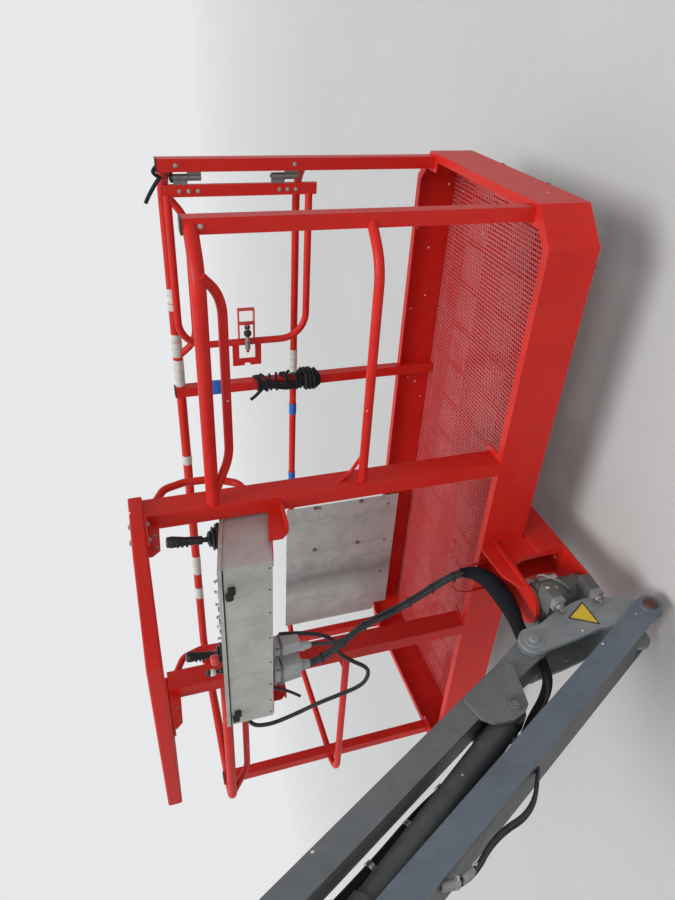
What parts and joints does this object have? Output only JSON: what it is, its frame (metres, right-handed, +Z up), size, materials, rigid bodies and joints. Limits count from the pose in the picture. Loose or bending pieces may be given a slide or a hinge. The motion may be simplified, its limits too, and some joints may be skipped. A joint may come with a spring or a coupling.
{
  "type": "boom lift work platform with jib",
  "caption": "Railed work platform with swing gate, control console and rotator on a parallelogram jib with lift cylinder.",
  "frame": {"origin": "centre of the jib foot's boom pivot bore", "axes": "+X forward from the boom through the jib to the platform's outer side, +Y left, along the pivot bore and the platform's length, +Z up"},
  "size_m": [2.254, 2.466, 1.7244],
  "materials": {
    "red_paint": "gloss red paint, worn and dusty",
    "arm_grey": "satin grey paint",
    "level_grey": "satin blue grey paint",
    "cylinder_grey": "satin dark grey paint",
    "bare_steel": "plated steel",
    "rubber": "black rubber",
    "cable_black": "black cable jacket and sleeve",
    "console_sheet": "weathered sheet metal",
    "plug_grey": "moulded grey plastic",
    "control_plastic": "moulded controls",
    "panel_sheet": "dull grey sheet"
  },
  "bodies": {
    "foot": {"jib_foot": "arm_grey", "foot_hubs": "arm_grey", "foot_pins": "bare_steel"},
    "jib": {"jib_arm": "arm_grey", "cylinder_bracket": "arm_grey", "cylinder_pin": "bare_steel", "hose_bulkhead": "arm_grey", "arm_sleeve": "cable_black", "port_hose": "cable_black"},
    "level": {"level_arm": "level_grey", "level_hose": "cable_black"},
    "barrel": {"cylinder_barrel": "cylinder_grey"},
    "rod": {"cylinder_rod": "bare_steel", "rod_eye_pin_ends": "bare_steel"},
    "knuckle": {"knuckle": "arm_grey", "knuckle_pins": "bare_steel", "rotator_housing": "arm_grey", "rotator_nuts": "bare_steel"},
    "platform": {"rotator_shaft": "bare_steel", "platform_support": "red_paint", "cable_hoop": "red_paint", "toe_boards": "red_paint", "corner_boards": "red_paint", "tray_lip": "red_paint", "floor_flange": "red_paint", "post_plates": "red_paint", "floor_mesh": "red_paint", "long_bearers": "red_paint", "cross_bearers": "red_paint", "rubber_feet": "rubber", "rail_posts": "red_paint", "console_posts": "red_paint", "top_rails": "red_paint", "mid_rails": "red_paint", "hand_rails": "red_paint", "rail_braces": "red_paint", "operator_guards": "red_paint", "top_guard": "red_paint", "guard_brackets": "red_paint", "console_brackets": "red_paint", "console_box": "console_sheet", "box_hinges": "bare_steel", "lid_latches": "rubber", "console_plugs": "plug_grey", "far_panel": "panel_sheet", "panel_spacers": "red_paint", "gate_hinge_post_side": "red_paint", "gate_catch": "red_paint", "cable_bundle": "cable_black", "cable_loop": "cable_black", "cable_sleeve": "cable_black"},
    "lid": {"console_lid": "console_sheet", "lid_hinges": "bare_steel", "joysticks": "rubber", "switches": "control_plastic"},
    "gate": {"gate_frame": "red_paint", "gate_hinges": "red_paint", "gate_latch": "red_paint"}
  },
  "joints": [
    {"name": "jib_lift", "type": "hinge", "parent": "foot", "child": "jib", "pos_m": [0.22364, 0, 0.09047], "axis": [0, -1, 0], "range_deg": [-7.5, 112.5]},
    {"name": "level_arm_swing", "type": "hinge", "parent": "foot", "child": "level", "pos_m": [0.24164, 0, -0.34453], "axis": [0, -1, 0], "range_deg": [-7.5, 112.5]},
    {"name": "knuckle_level", "type": "hinge", "parent": "jib", "child": "knuckle", "pos_m": [0.847, 0, -1.107], "axis": [0, -1, 0], "range_deg": [-112.5, 7.5]},
    {"name": "cylinder_swing", "type": "hinge", "parent": "jib", "child": "barrel", "pos_m": [0.671, 0, -0.946], "axis": [0, -1, 0], "range_deg": [-5, 5]},
    {"name": "cylinder_stroke", "type": "slide", "parent": "barrel", "child": "rod", "axis": [-0.5225, 0, 0.8526], "range_m": [-0.03, 0.39]},
    {"name": "platform_turn", "type": "hinge", "parent": "knuckle", "child": "platform", "pos_m": [1.045, 0, -1.33], "axis": [0, 0, 1], "range_deg": [-90, 90]},
    {"name": "gate_swing", "type": "hinge", "parent": "platform", "child": "gate", "pos_m": [2.076, -1.15, -0.47], "axis": [0, 0, 1], "range_deg": [0, 90]},
    {"name": "lid_tilt", "type": "hinge", "parent": "platform", "child": "lid", "pos_m": [1.322, 0, -0.257], "axis": [0, 1, 0], "range_deg": [0, 70]}
  ],
  "couplings": [
    {"joint": "level_arm_swing", "follows": "jib_lift", "ratio": 1},
    {"joint": "knuckle_level", "follows": "jib_lift", "ratio": -1},
    {"joint": "cylinder_swing", "follows": "jib_lift", "ratio": -0.01},
    {"joint": "cylinder_stroke", "follows": "jib_lift", "m_per_rad": 0.19}
  ]
}
